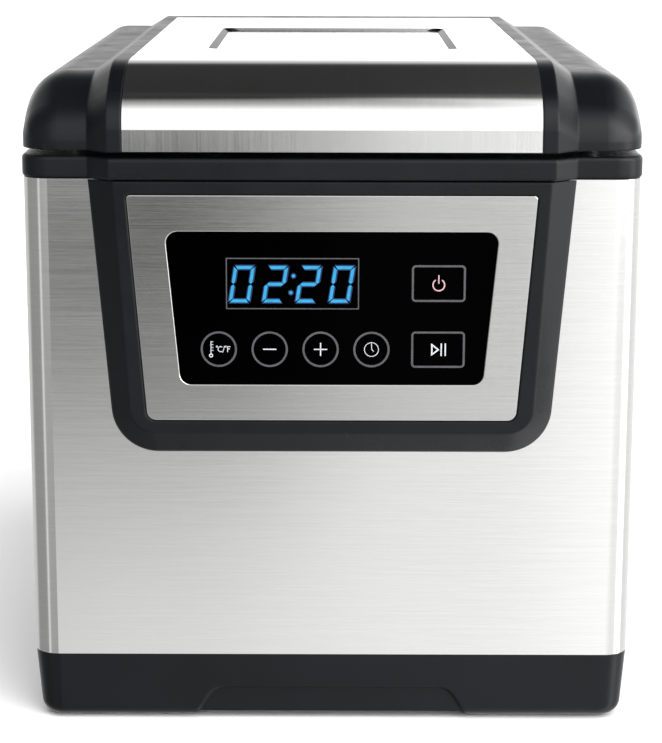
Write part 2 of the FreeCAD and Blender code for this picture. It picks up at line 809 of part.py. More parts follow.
def front_bezel():
    body = new_body("front_bezel")
    top = "wrap_top - 0.2"
    foot = outline(front_view(body, "front_y"),
                   panel_outline("0", "bezel_low_half", "bezel_top_half", "bezel_bottom", top, "20", "0"))
    face = outline(front_view(body, PANEL_FACE),
                   panel_outline("0", "face_low_half", "face_top_half", "face_bottom", top, "11", "0"))
    loft = body.newObject("PartDesign::AdditiveLoft", "Loft")
    loft.Profile = foot
    loft.Sections = [face]
    loft.Ruled = True
    doc.recompute()
    face_y, below = number(PANEL_FACE), number(f"{top} - 1")

    def face_edge(edge):
        return abs(edge.BoundBox.YMax - face_y) < 0.01 and edge.BoundBox.ZMin < below

    round_edges(body, "1", face_edge)
    plug = outline(front_view(body, "front_y"),
                   panel_outline("0", "opening_low_half - 1", "opening_top_half - 2", "opening_bottom + 2",
                                 "wrap_top - 3.5", "5", "2"))
    pad(body, plug, "10", back=True)
    bed = outline(front_view(body, PANEL_FACE), fascia_outline("gap"))
    pocket(body, bed, "1.7")
    window = outline(front_view(body, PANEL_FACE),
                     panel_outline("0", "glass_low_half + 9.5", "glass_top_half + 8.4", "glass_bottom - 6.4",
                                   "glass_top + 4.9", "6", "6"))
    pocket(body, window, "30")
    pilots = front_view(body, "front_y + 10")
    for x, z in CONTROL_SCREWS:
        ring(pilots, x, z, "1.3")
    pocket(body, pilots, "6", back=True)
    finish("front_bezel", body)


def fascia_and_glass():
    plate = new_body("control_fascia")
    sheet = front_view(plate, f"{PANEL_FACE} + 0.1")
    outline(sheet, fascia_outline("0"))
    outline(sheet, glass_outline("0.25"))
    pad(plate, sheet, "1.5", back=True)
    plate_y = number(f"{PANEL_FACE} + 0.1")
    round_edges(plate, "0.4", lambda edge: abs(edge.BoundBox.YMax - plate_y) < 0.01)
    finish("control_fascia", plate)
    glass = new_body("display_glass")
    pane = outline(front_view(glass, f"{PANEL_FACE} + 0.2"), glass_outline("0"))
    pad(glass, pane, "2", back=True)
    finish("display_glass", glass)


# ---------------------------------------------------------------- rear inlet

def rear_inlet():
    outer, inner_end, mouth = "back_y + 2.4", "back_y - 18", "back_y - 14.6"
    housing = new_body("inlet_housing")
    flange = outline(front_view(housing, outer),
                     box_outline("inlet_x - 25", "inlet_x + 25", "inlet_z - 13", "inlet_z + 13", "3"))
    pad(housing, flange, "2.4", back=False)
    box = outline(front_view(housing, outer),
                  box_outline("inlet_x - 13.5", "inlet_x + 13.5", "inlet_z - 10", "inlet_z + 10", "2"))
    pad(housing, box, f"{outer} - ({inner_end})", back=False)
    socket = outline(front_view(housing, outer), [
        ("inlet_x - 12.1", "inlet_z - 8.3", "1"), ("inlet_x + 12.1", "inlet_z - 8.3", "1"),
        ("inlet_x + 12.1", "inlet_z + 3.5", "0.5"), ("inlet_x + 7.3", "inlet_z + 8.3", "0.5"),
        ("inlet_x - 7.3", "inlet_z + 8.3", "0.5"), ("inlet_x - 12.1", "inlet_z + 3.5", "0.5"),
    ])
    pocket(housing, socket, "17", back=True)
    blades = [("-7", "0"), ("7", "0"), ("0", "4")]
    slits = front_view(housing, outer)
    for x, z in blades:
        outline(slits, box_outline(f"inlet_x + {x} - 1", f"inlet_x + {x} + 1",
                                   f"inlet_z + {z} - 2", f"inlet_z + {z} + 2"))
    pocket(housing, slits, "30", back=True)
    holes = front_view(housing, outer)
    for x in ("inlet_x - inlet_screw_x", "inlet_x + inlet_screw_x"):
        ring(holes, x, "inlet_z", "1.7")
    pocket(housing, holes, "5", back=True)
    finish("inlet_housing", housing)
    pins = [block("2", "28", "4", f"inlet_x + {x}", f"{mouth} + 14 - 12", f"inlet_z + {z} - 2")
            for x, z in blades]
    finish("inlet_pins", group(*pins))
    screws = [rear_screw("2.8", "1.5", "8", f"inlet_x + {x}", outer, "inlet_z")
              for x in ("-inlet_screw_x", "inlet_screw_x")]
    finish("inlet_screws", group(*screws))


# ---------------------------------------------------------------- hinge

def hinges():
    bracket_screws, lid_screws = [], []
    for name, side in (("left", "-1"), ("right", "1")):
        middle = f"{side} * hinge_x"
        plate_front = "back_y + 0.05"
        plate_back = "back_y + 2.5"

        bracket = new_body(f"hinge_bracket_{name}")
        plate = outline(side_view(bracket, f"{middle} - 14"),
                        box_outline(plate_front, plate_back, "216", "rim_top - 0.2"))
        pad(bracket, plate, "28")
        for start in ("-14", "9"):
            ear = outline(side_view(bracket, f"{middle} + {start}"), [
                (plate_front, "228"), (plate_back, "228"), ("pivot_y + knuckle", "rim_top - 4", "3"),
                ("pivot_y + knuckle", "pivot_z + knuckle", "knuckle - 0.01"),
                ("pivot_y - knuckle", "pivot_z + knuckle", "knuckle - 0.01"),
                ("pivot_y - knuckle", "rim_top - 2"), (plate_front, "rim_top - 3"),
            ])
            pad(bracket, ear, "5")
        bore = ring(side_view(bracket, f"{middle} + 15"), "pivot_y", "pivot_z", "pin_radius")
        pocket(bracket, bore, "30")
        holes = front_view(bracket, plate_front)
        spots = [f"{middle} + {shift}" for shift in ("-bracket_screw_x", "bracket_screw_x")]
        for x in spots:
            ring(holes, x, "bracket_screw_z", "1.7")
        pocket(bracket, holes, "5")
        finish(f"hinge_bracket_{name}", bracket)
        finish(f"hinge_pin_{name}", rod("pin_radius", "27.6", f"{middle} - 13.8", "pivot_y", "pivot_z", "X"))
        bracket_screws += [rear_screw("2.9", "1.6", "9", x, plate_back, "bracket_screw_z") for x in spots]

        knuckle = new_body(f"lid_hinge_{name}")
        barrel = ring(side_view(knuckle, f"{middle} - 8.7"), "pivot_y", "pivot_z", "knuckle")
        pad(knuckle, barrel, "17.4")
        leaf = outline(side_view(knuckle, f"{middle} - 8.7"),
                       box_outline(plate_front, plate_back, "pivot_z + 1", "pivot_z + 15"))
        pad(knuckle, leaf, "17.4")
        bore = ring(side_view(knuckle, f"{middle} + 10"), "pivot_y", "pivot_z", "pin_radius + 0.05")
        pocket(knuckle, bore, "20")
        holes = front_view(knuckle, plate_front)
        for shift in ("-leaf_screw_x", "leaf_screw_x"):
            ring(holes, f"{middle} + {shift}", LEAF_SCREW_Z, "1.6")
        pocket(knuckle, holes, "5")
        finish(f"lid_hinge_{name}", knuckle)
        lid_screws += [rear_screw("2.6", "1.5", "8", f"{middle} + {shift}", plate_back, LEAF_SCREW_Z)
                       for shift in ("-leaf_screw_x", "leaf_screw_x")]
    finish("hinge_bracket_screws", group(*bracket_screws))
    finish("lid_hinge_screws", group(*lid_screws))


# ---------------------------------------------------------------- lid

def lid_profile(sketch, inset, lift, bottom):
    """The lid cut along its length. lift 0 is the shoulder and 1 the raised middle."""
    front = f"front_y - {lift} * bulge + {inset}"
    back = f"back_y - ({inset})"
    top = f"shoulder_top + {lift} * (lid_top - shoulder_top) - ({inset})"
    brow = f"lid_bottom + brow_rise + {lift} * (lid_top - shoulder_top) - 0.53 * ({inset})"
    crown = f"front_y - {lift} * bulge + crown_set + 0.31 * ({inset})"
    return outline(sketch, [
        (front, bottom), (back, bottom), (back, top, f"lid_rear_round - ({inset})"),
        (crown, top, f"lid_crown_round - ({inset})"), (front, brow, f"lid_brow_round - ({inset})"),
    ])


def lid_form(inset, bottom):
    """The solid lid, moved in by inset on every side but its underside."""
    half = f"case_wide / 2 - ({inset})"
    top = f"shoulder_top - ({inset})"
    front = f"front_y + {inset}"
    behind = "back_y + 60"
    brow = f"lid_bottom + brow_rise - 0.53 * ({inset})"
    crown = f"front_y + crown_set + 0.31 * ({inset})"
    shoulders = new_body("LidShoulders")
    profile = outline(side_view(shoulders, f"-({half})"), [
        (front, bottom), (behind, bottom), (behind, top), (crown, top, f"lid_crown_round - ({inset})"),
        (front, brow, f"lid_brow_round - ({inset})"),
    ])
    pad(shoulders, profile, f"2 * ({half})")
    side, low, far = number(half), number(bottom), number(behind)

    def side_edge(edge):
        box = edge.BoundBox
        at_side = box.XMax - box.XMin < 0.01 and abs(abs(box.XMin) - side) < 0.01
        return at_side and not all_at(edge, low) and box.YMin < far - 0.01

    round_edges(shoulders, f"lid_side_round - ({inset})", side_edge)

    rear = new_body("LidRear")
    back = f"back_y - ({inset})"
    turn = f"case_round + 1 - ({inset})"
    before = "front_y - 30"
    block_plan = [(f"-({half})", before), (half, before), (half, back, turn), (f"-({half})", back, turn)]
    pad(rear, outline(plan(rear, bottom), block_plan), f"{top} - ({bottom})")
    high = number(top)
    round_edges(rear, f"lid_rear_round - ({inset})",
                lambda edge: all_at(edge, high) and edge.BoundBox.YMin > number("back_y - lid_rear_round"))
    shoulders = overlap(shoulders, rear)

    middle = new_body("LidMiddle")
    stations = [(f"-(bulge_outer - 0.3 * ({inset}))", "0"), (f"-(bulge_inner + 0.5 - 0.3 * ({inset}))", "1"),
                (f"bulge_inner + 0.5 - 0.3 * ({inset})", "1"), (f"bulge_outer - 0.3 * ({inset})", "0")]
    sections = [lid_profile(side_view(middle, x), inset, lift, bottom) for x, lift in stations]
    loft = middle.newObject("PartDesign::AdditiveLoft", "Loft")
    loft.Profile = sections[0]
    loft.Sections = sections[1:]
    loft.Ruled = True
    doc.recompute()
    return fuse(shoulders, middle)


def panel_slab(half, inset, bottom, back):
    """The raised middle of the lid between two upright planes, cut off at back."""
    body = new_body("PanelSlab")
    pad(body, lid_profile(side_view(body, f"-({half})"), inset, "1", bottom), f"2 * ({half})")
    behind = outline(plan(body, bottom), box_outline("-case_wide", "case_wide", back, "case_wide"))
    pocket(body, behind, "60", back=True)
    return body


def recess_outline(side_grow, end_grow):
    half = f"recess_half + {side_grow}"
    return box_outline(f"-({half})", half, f"recess_front - ({end_grow})", f"recess_back + {end_grow}", "5")


def recess_form(grow, deep, rise):
    """The pressed recess in the panel: a shallow tray with sloping sides, open at the top."""
    body = new_body("RecessForm")
    inside = recess_outline(f"{grow} - recess_slope", f"{grow} - recess_end")
    floor = outline(plan(body, f"lid_top - ({deep})"), inside)
    rim = outline(plan(body, "lid_top"), recess_outline(grow, grow))
    loft = body.newObject("PartDesign::AdditiveLoft", "Loft")
    loft.Profile = floor
    loft.Sections = [rim]
    loft.Ruled = True
    doc.recompute()
    if rise:
        pad(body, outline(plan(body, "lid_top"), recess_outline(grow, grow)), rise)
    return body


def lid_cover():
    shell = cut(lid_form("0", "lid_bottom"), lid_form("lid_wall", "lid_bottom - 5"))
    post_tall = "shoulder_top - lid_bottom - lid_wall - 2.5"
    posts = [rod("4", post_tall, x, y, "lid_bottom + 2.4") for x, y in LID_SCREWS]
    shell = fuse(shell, *posts)
    bed = cut(panel_slab("panel_half + gap", "-1", "lid_bottom - 5", "panel_back + gap"),
              panel_slab("panel_half + 5", "panel_bed", "lid_bottom - 6", "panel_back + 5"))
    shell = cut(shell, bed, recess_form("panel_sheet + 0.4", "recess_deep + panel_sheet + 0.2", ""))
    pilots = [rod("1.3", "12", x, y, "lid_bottom + 2") for x, y in LID_SCREWS]
    hinge_pilots = [rod("1.5", "8", f"{side} * hinge_x + {shift}", "back_y - 6", LEAF_SCREW_Z, "Y")
                    for side in ("-1", "1") for shift in ("-leaf_screw_x", "leaf_screw_x")]
    finish("lid_cover", cut(shell, *pilots, *hinge_pilots))


def lid_panel():
    sheet = cut(panel_slab("panel_half", "0", "lid_bottom + 0.2", "panel_back"),
                panel_slab("panel_half + 5", "panel_sheet", "lid_bottom - 6", "panel_back + 5"))
    pressed = fuse(sheet, recess_form("panel_sheet", "recess_deep + panel_sheet", ""))
    finish("lid_panel", cut(pressed, recess_form("0", "recess_deep", "2")))


def lid_inside():
    liner = new_body("lid_liner")
    plate = outline(plan(liner, "lid_bottom + 0.3"), case_outline("lid_wall + gap", "lid_side_round"))
    pad(liner, plate, "2")
    plug = outline(plan(liner, "lid_bottom + 0.3"), tank_outline("-4"))
    pad(liner, plug, "3.6", back=True)
    level = number("lid_bottom - 3.3")
    round_edges(liner, "1.2", lambda edge: all_at(edge, level))
    dish = outline(plan(liner, "lid_bottom + 2.3"), tank_outline("-6"))
    pocket(liner, dish, "3.6")
    holes = plan(liner, "lid_bottom + 0.3")
    for x, y in LID_SCREWS:
        ring(holes, x, y, "1.6")
    pocket(liner, holes, "3", back=True)
    finish("lid_liner", liner)

    gasket = new_body("lid_gasket")
    strip = plan(gasket, "rim_top + 0.4")
    outline(strip, tank_outline("4"))
    outline(strip, tank_outline("-3.5"))
    pad(gasket, strip, "lid_bottom - rim_top - 0.1")
    finish("lid_gasket", gasket)

    foam = new_body("lid_insulation")
    slab = outline(plan(foam, "lid_bottom + 2.6"), tank_outline("-8"))
    pad(foam, slab, "lid_top - lid_bottom - 8")
    finish("lid_insulation", foam)

    screws = [fuse(rod("2.9", "1.4", x, y, "lid_bottom - 1.1"), rod("1.3", "12", x, y, "lid_bottom + 0.3"))
              for x, y in LID_SCREWS]
    finish("lid_screws", group(*screws))


base_tray()
feet()
body_wrap()
shell_screws()
top_rim()
inner_tank()
tank_wraps()
heater()
power_electrics()
ribbon_cable()
control_electrics()
front_bezel()
fascia_and_glass()
rear_inlet()
hinges()
lid_cover()
lid_panel()
lid_inside()

doc.recompute()
for item in doc.Objects:
    if "Invalid" in item.State or "Error" in item.State:
        raise ValueError(f"{item.Label} has state {item.State}")

os.makedirs("parts", exist_ok=True)
for piece in parts:
    shape = piece.Shape
    if shape.isNull() or not shape.isValid() or not shape.Solids:
        raise ValueError(f"{piece.Label} has no valid solid")
    shape.exportStep(f"parts/{piece.Label}.step")
print(len(parts), "sub-parts written")
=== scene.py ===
import json
import math

import bmesh
import bpy
from mathutils import Matrix, Vector


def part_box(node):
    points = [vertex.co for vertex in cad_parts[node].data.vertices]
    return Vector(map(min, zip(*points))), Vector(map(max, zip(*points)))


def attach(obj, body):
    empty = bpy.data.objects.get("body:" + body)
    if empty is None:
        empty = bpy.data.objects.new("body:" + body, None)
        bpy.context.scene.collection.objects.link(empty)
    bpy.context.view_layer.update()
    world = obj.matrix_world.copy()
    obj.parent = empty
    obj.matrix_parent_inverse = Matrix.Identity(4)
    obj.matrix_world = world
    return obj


# A sous vide water oven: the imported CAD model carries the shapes, and this script adds its finishes,
# the printed and lit marks of the front panel, the studio and the camera. Metres throughout.

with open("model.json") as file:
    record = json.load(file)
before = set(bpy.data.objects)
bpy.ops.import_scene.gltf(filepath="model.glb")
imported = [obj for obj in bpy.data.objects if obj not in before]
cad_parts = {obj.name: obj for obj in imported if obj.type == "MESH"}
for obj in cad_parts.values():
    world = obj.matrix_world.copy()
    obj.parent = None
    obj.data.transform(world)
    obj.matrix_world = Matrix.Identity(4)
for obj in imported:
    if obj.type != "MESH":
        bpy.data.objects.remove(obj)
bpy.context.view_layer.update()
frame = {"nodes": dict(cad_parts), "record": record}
MM = 0.001


# ---------------------------------------------------------------- shader helpers

def new_material(name):
    """A node material with its shader, node tree and output."""
    material = bpy.data.materials.new(name)
    material.use_nodes = True
    tree = material.node_tree
    shader = tree.nodes["Principled BSDF"]
    return material, tree, shader


def coordinates(tree, scale):
    """Object coordinates in metres, stretched by scale."""
    source = tree.nodes.new("ShaderNodeTexCoord")
    mapping = tree.nodes.new("ShaderNodeMapping")
    mapping.inputs["Scale"].default_value = scale
    tree.links.new(source.outputs["Object"], mapping.inputs["Vector"])
    return mapping.outputs["Vector"]


EVEN = (1, 1, 1)


def noise(tree, scale, size=1.0, detail=2.0, rough=0.5):
    """A noise value over stretched object coordinates."""
    node = tree.nodes.new("ShaderNodeTexNoise")
    node.inputs["Scale"].default_value = size
    node.inputs["Detail"].default_value = detail
    node.inputs["Roughness"].default_value = rough
    tree.links.new(coordinates(tree, scale), node.inputs["Vector"])
    return node.outputs["Fac"]


def spread(tree, value, low, high, start=0.3, end=0.7):
    """Map a value from start..end onto low..high. Noise mostly lies between 0.3 and 0.7."""
    node = tree.nodes.new("ShaderNodeMapRange")
    node.inputs["From Min"].default_value = start
    node.inputs["From Max"].default_value = end
    node.inputs["To Min"].default_value = low
    node.inputs["To Max"].default_value = high
    tree.links.new(value, node.inputs["Value"])
    return node.outputs["Result"]


def combine(tree, kind, first, second):
    """Arithmetic on two values."""
    node = tree.nodes.new("ShaderNodeMath")
    node.operation = kind
    for socket, value in zip(node.inputs, (first, second)):
        if isinstance(value, (int, float)):
            socket.default_value = value
        else:
            tree.links.new(value, socket)
    return node.outputs["Value"]


def blend_colours(tree, value, dark, light):
    """A colour between two, by a value."""
    node = tree.nodes.new("ShaderNodeMix")
    node.data_type = "RGBA"
    node.inputs["A"].default_value = (*dark, 1)
    node.inputs["B"].default_value = (*light, 1)
    tree.links.new(value, node.inputs["Factor"])
    return node.outputs["Result"]


def bump(tree, shader, value, strength, distance, edge=0.0):
    """Raise the surface by a value, on edges softened over a radius."""
    node = tree.nodes.new("ShaderNodeBump")
    node.inputs["Strength"].default_value = strength
    node.inputs["Distance"].default_value = distance
    tree.links.new(value, node.inputs["Height"])
    if edge:
        bevel = tree.nodes.new("ShaderNodeBevel")
        bevel.samples = 4
        bevel.inputs["Radius"].default_value = edge
        tree.links.new(bevel.outputs["Normal"], node.inputs["Normal"])
    tree.links.new(node.outputs["Normal"], shader.inputs["Normal"])


def worn_edges(tree, value, amount):
    """Add a little to a value along convex edges, where handling has polished them."""
    geometry = tree.nodes.new("ShaderNodeNewGeometry")
    return combine(tree, "ADD", value, spread(tree, geometry.outputs["Pointiness"], 0.0, amount, 0.5, 0.56))


# ---------------------------------------------------------------- materials

def painted_slope_shade(tree, shader, colour):
    """Paint shade on slopes that face sideways: darken a colour, and the edge reflection with it, as painted
    shade and a painted dark reflection.
    """
    geometry = tree.nodes.new("ShaderNodeNewGeometry")
    parts = tree.nodes.new("ShaderNodeSeparateXYZ")
    tree.links.new(geometry.outputs["Normal"], parts.inputs["Vector"])
    sideways = combine(tree, "ABSOLUTE", parts.outputs["X"], 0.0)
    slope = spread(tree, sideways, 0.0, 1.0, 0.12, 0.30)
    # painted dark reflection: the edge reflection of sideways slopes is tinted nearly black
    painted_dark_reflection = blend_colours(tree, slope, (1.0, 1.0, 1.0), (0.05, 0.05, 0.05))
    tree.links.new(painted_dark_reflection, shader.inputs["Specular Tint"])
    # painted shade: sideways slopes turn towards a flat dark grey
    node = tree.nodes.new("ShaderNodeMix")
    node.data_type = "RGBA"
    node.inputs["B"].default_value = (0.22, 0.22, 0.22, 1)
    tree.links.new(slope, node.inputs["Factor"])
    tree.links.new(colour, node.inputs["A"])
    return node.outputs["Result"]


def brushed_steel(name, across, light, dark, rough, axis, stretch, depth=0.00002, shaded_slopes=False):
    """Brushed stainless steel.

    across is how close the lines of the grain lie along each axis, and depth how deep they are. The
    highlights stretch over the grain: axis is the one round which the tangent runs, and stretch how far
    they do so. Where asked, slopes that face sideways get painted shade: a darker colour and a painted dark
    edge reflection.
    they do so. With creases, slopes that face sideways are duller, as where a press has stretched the sheet.
    """
    material, tree, shader = new_material(name)
    fine = noise(tree, [12 * a for a in across], detail=6, rough=0.7)
    coarse = noise(tree, [1.6 * a for a in across], detail=4, rough=0.6)
    cloud = noise(tree, (9, 9, 9))
    fine_share = combine(tree, "MULTIPLY", fine, 0.6)
    grain = combine(tree, "ADD", fine_share, combine(tree, "MULTIPLY", coarse, 0.4))
    colour = blend_colours(tree, spread(tree, grain, 0, 1), dark, light)
    # painted shade and a painted dark reflection on the sideways slopes, where asked
    if shaded_slopes:
        colour = painted_slope_shade(tree, shader, colour)
    tree.links.new(colour, shader.inputs["Base Color"])
    shader.inputs["Metallic"].default_value = 1.0
    patchy = combine(tree, "ADD", spread(tree, grain, rough - 0.04, rough + 0.04),
                     spread(tree, cloud, -0.015, 0.015))
    tree.links.new(patchy, shader.inputs["Roughness"])
    tangent = tree.nodes.new("ShaderNodeTangent")
    tangent.direction_type = "RADIAL"
    tangent.axis = axis
    tree.links.new(tangent.outputs["Tangent"], shader.inputs["Tangent"])
    shader.inputs["Anisotropic"].default_value = abs(stretch)
    shader.inputs["Anisotropic Rotation"].default_value = 0.25 if stretch > 0 else 0.0
    bump(tree, shader, grain, 0.35, depth)
    return material


def moulded_plastic(name, dark, light, rough):
    """Satin moulded plastic with spark-eroded grain, faint handling marks and softened edges."""
    material, tree, shader = new_material(name)
    cloud = noise(tree, EVEN, size=14, detail=3)
    colour = blend_colours(tree, spread(tree, cloud, 0, 1), dark, light)
    tree.links.new(colour, shader.inputs["Base Color"])
    smudge = noise(tree, EVEN, size=60, detail=4, rough=0.6)
    value = spread(tree, smudge, rough - 0.04, rough + 0.05)
    tree.links.new(worn_edges(tree, value, -0.06), shader.inputs["Roughness"])
    shader.inputs["Specular IOR Level"].default_value = 0.25
    bump(tree, shader, noise(tree, EVEN, size=2600), 0.5, 0.00002, edge=0.0012)
    return material


def tinted_glass():
    """The dark pane of the panel, with a little dust and haze."""
    material, tree, shader = new_material("tinted_glass")
    dust = spread(tree, noise(tree, EVEN, size=900), 0, 1, 0.55, 0.8)
    colour = blend_colours(tree, dust, (0.0001, 0.0001, 0.0001), (0.0005, 0.0005, 0.0006))
    tree.links.new(colour, shader.inputs["Base Color"])
    haze = noise(tree, EVEN, size=25, detail=3)
    tree.links.new(spread(tree, haze, 0.03, 0.07), shader.inputs["Roughness"])
    shader.inputs["Specular IOR Level"].default_value = 0.015
    return material


def soft_solid(name, dark, light, rough, grit, depth, metallic=0.0):
    """A plain industrial finish: colour variation, uneven gloss and a fine surface."""
    material, tree, shader = new_material(name)
    cloud = noise(tree, EVEN, size=40, detail=4)
    colour = blend_colours(tree, spread(tree, cloud, 0, 1), dark, light)
    tree.links.new(colour, shader.inputs["Base Color"])
    shader.inputs["Metallic"].default_value = metallic
    tree.links.new(spread(tree, cloud, rough - 0.06, rough + 0.06), shader.inputs["Roughness"])
    bump(tree, shader, noise(tree, EVEN, size=grit), 0.5, depth)
    return material


def lit_mark(name, colour, strength):
    """Light showing through the panel, a little uneven as from one small lamp per mark."""
    material, tree, shader = new_material(name)
    cloud = noise(tree, EVEN, size=350, detail=1)
    dim = [c * 0.8 for c in colour]
    mixed = blend_colours(tree, spread(tree, cloud, 0, 1), dim, colour)
    tree.links.new(mixed, shader.inputs["Emission Color"])
    tree.links.new(mixed, shader.inputs["Base Color"])
    shader.inputs["Emission Strength"].default_value = strength
    shader.inputs["Roughness"].default_value = 0.3
    return material


# plain finishes: dark and light colour, roughness, fineness and depth of the surface, and metal or not
PLAIN_FINISHES = {
    "foot_rubber": ((0.01, 0.01, 0.01), (0.02, 0.02, 0.02), 0.75, 1500, 0.00006, 0.0),
    "seal_rubber": ((0.36, 0.36, 0.37), (0.46, 0.46, 0.47), 0.6, 1800, 0.00004, 0.0),
    "foam": ((0.62, 0.58, 0.48), (0.78, 0.75, 0.66), 0.9, 500, 0.0004, 0.0),
    "heater_aluminium": ((0.55, 0.56, 0.57), (0.72, 0.73, 0.74), 0.45, 1200, 0.0001, 1.0),
    "element_steel": ((0.16, 0.13, 0.11), (0.34, 0.31, 0.28), 0.45, 2000, 0.00003, 1.0),
    "zinc_steel": ((0.48, 0.49, 0.52), (0.66, 0.67, 0.70), 0.32, 3000, 0.00002, 1.0),
    "circuit_board": ((0.008, 0.09, 0.035), (0.015, 0.14, 0.055), 0.35, 1400, 0.00004, 0.0),
    "component_black": ((0.012, 0.012, 0.013), (0.024, 0.024, 0.025), 0.5, 2200, 0.00003, 0.0),
    "transformer_core": ((0.11, 0.08, 0.06), (0.2, 0.15, 0.11), 0.5, 900, 0.0001, 0.0),
    "relay_blue": ((0.01, 0.04, 0.22), (0.015, 0.06, 0.3), 0.3, 2600, 0.00002, 0.0),
    "fuse_ceramic": ((0.62, 0.6, 0.56), (0.74, 0.73, 0.7), 0.3, 1200, 0.00003, 0.0),
    "terminal_plastic": ((0.52, 0.52, 0.48), (0.62, 0.62, 0.58), 0.5, 2400, 0.00003, 0.0),
    "brass_pin": ((0.62, 0.5, 0.28), (0.78, 0.66, 0.4), 0.28, 3000, 0.00002, 1.0),
    "ribbon": ((0.3, 0.3, 0.31), (0.4, 0.4, 0.41), 0.5, 2400, 0.00004, 0.0),
    "lead_insulation": ((0.32, 0.03, 0.02), (0.45, 0.05, 0.03), 0.5, 2000, 0.00004, 0.0),
}
PLASTIC_SHADE = (0.0020, 0.0024, 0.0036)
PLASTIC_LIGHT = (0.0038, 0.0043, 0.0060)
BRIGHT_STEEL = (0.95, 0.95, 0.94)
CASE_SHADE = (0.80, 0.80, 0.79)
LID_SHADE = (0.84, 0.84, 0.83)
TANK_LIGHT = (0.80, 0.80, 0.80)
TANK_SHADE = (0.68, 0.68, 0.68)
# the front plate is brushed like the case and a little duller
FASCIA_LIGHT = (0.71, 0.71, 0.70)
FASCIA_SHADE = (0.58, 0.58, 0.57)


def finishes():
    """Every material of the CAD parts, by its slot's name, and the front plate's own one."""
    made = {name: soft_solid(name, *finish) for name, finish in PLAIN_FINISHES.items()}
    made["black_plastic"] = moulded_plastic("black_plastic", PLASTIC_SHADE, PLASTIC_LIGHT, 0.33)
    made["case_steel"] = brushed_steel("case_steel", (16, 16, 1800), BRIGHT_STEEL, CASE_SHADE,
                                       0.15, "Z", 0.3)
    # the lid's pressed panel gets painted shade and a painted dark reflection on its side slopes
    made["lid_steel"] = brushed_steel("lid_steel", (1800, 8, 8), BRIGHT_STEEL, LID_SHADE,
                                      0.13, "Y", -0.7, shaded_slopes=True)
    made["tank_steel"] = brushed_steel("tank_steel", (14, 14, 900), TANK_LIGHT, TANK_SHADE,
                                       0.26, "Z", 0.4, depth=0.000006)
    made["panel_glass"] = tinted_glass()
    fascia = brushed_steel("fascia_steel", (18, 18, 1800), FASCIA_LIGHT, FASCIA_SHADE, 0.15, "Z", 0.3)
    return made, fascia


def paint(node, material):
    node.data.materials.clear()
    node.data.materials.append(material)


slot_materials, fascia_material = finishes()
for entry in frame["record"]["subparts"]:
    paint(frame["nodes"][entry["node"]], slot_materials[entry["material_slot"]])
paint(frame["nodes"]["control_fascia"], fascia_material)


# ---------------------------------------------------------------- marks on the front panel

glass_low, glass_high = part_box("display_glass")
GLASS_FACE = glass_low.y
MARK_LIFT = 0.00003
MARK_THICK = 0.00002
GLOW_LIFT = 0.00001


class Marks:
    """Flat marks on the glass, drawn as closed outlines in millimetres (x across, z up)."""

    def __init__(self, name, material, lift=MARK_LIFT):
        self.lift = lift
        self.name = name
        self.material = material
        self.bm = bmesh.new()

    def plate(self, points):
        """A filled outline."""
        self.ring(points, None)

    def ring(self, outer, inner):
        """The band between two outlines with the same number of points, or a filled outline."""
        back = GLASS_FACE - self.lift
        front = back - MARK_THICK
        rows = []
        for loop in (outer, inner):
            if loop is None:
                continue
            for depth in (front, back):
                rows.append([self.bm.verts.new((x * MM, depth, z * MM)) for x, z in loop])
        count = len(outer)
        if inner is None:
            self.bm.faces.new(rows[0])
            self.bm.faces.new(list(reversed(rows[1])))
            pairs = [(rows[0], rows[1])]
        else:
            pairs = [(rows[0], rows[1]), (rows[3], rows[2]), (rows[2], rows[0]), (rows[1], rows[3])]
        for one, other in pairs:
            for i in range(count):
                j = (i + 1) % count
                self.bm.faces.new((one[i], one[j], other[j], other[i]))

    def bar(self, start, end, wide):
        """A straight stroke with square ends."""
        a, b = Vector(start), Vector(end)
        side = (b - a).orthogonal().normalized() * wide / 2
        self.plate([a + side, a - side, b - side, b + side])

    def finish(self):
        """Turn the outlines into one piece on the case."""
        bmesh.ops.recalc_face_normals(self.bm, faces=self.bm.faces)
        mesh = bpy.data.meshes.new(self.name)
        self.bm.to_mesh(mesh)
        self.bm.free()
        piece = bpy.data.objects.new(self.name, mesh)
        bpy.context.scene.collection.objects.link(piece)
        mesh.materials.append(self.material)
        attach(piece, "case")


def arc(x, z, radius, start=0.0, end=360.0, steps=48):
    """Points on part of a circle, angles in degrees."""
    count = steps if end - start >= 360 else steps + 1
    return [(x + radius * math.cos(math.radians(start + (end - start) * i / steps)),
             z + radius * math.sin(math.radians(start + (end - start) * i / steps))) for i in range(count)]


def stroke_arc(x, z, radius, wide, start, end, steps=24):
    """The outline of a curved stroke."""
    outer = arc(x, z, radius + wide / 2, start, end, steps)
    return outer + arc(x, z, radius - wide / 2, start, end, steps)[::-1]


def rounded_box(left, right, low, high, radius, steps=6):
    """The outline of a box with rounded corners."""
    points = []
    for x, z, start in ((right - radius, high - radius, 0), (left + radius, high - radius, 90),
                        (left + radius, low + radius, 180), (right - radius, low + radius, 270)):
        points += arc(x, z, radius, start, start + 90, steps)
    return points


def frame_box(marks, left, right, low, high, radius, line):
    """A line of one width round a box."""
    marks.ring(rounded_box(left, right, low, high, radius),
               rounded_box(left + line, right - line, low + line, high - line, max(radius - line, 0.05)))


# places on the panel in millimetres, taken from the display and the touch pillars behind the glass
PILLAR = 4.5
COLUMN = 21.45
pillars_low, pillars_high = (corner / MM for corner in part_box("touch_pillars"))
display_low, display_high = (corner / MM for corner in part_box("display_module"))
KEY_Z = pillars_low.z + PILLAR
KEY_X = [pillars_low.x + PILLAR + COLUMN * i for i in range(4)]
RIGHT_KEY_X = pillars_high.x - PILLAR
POWER_Z = pillars_high.z - PILLAR
WINDOW_INSET = 2.1
WINDOW_LEFT = display_low.x + WINDOW_INSET
WINDOW_LOW = display_low.z + WINDOW_INSET

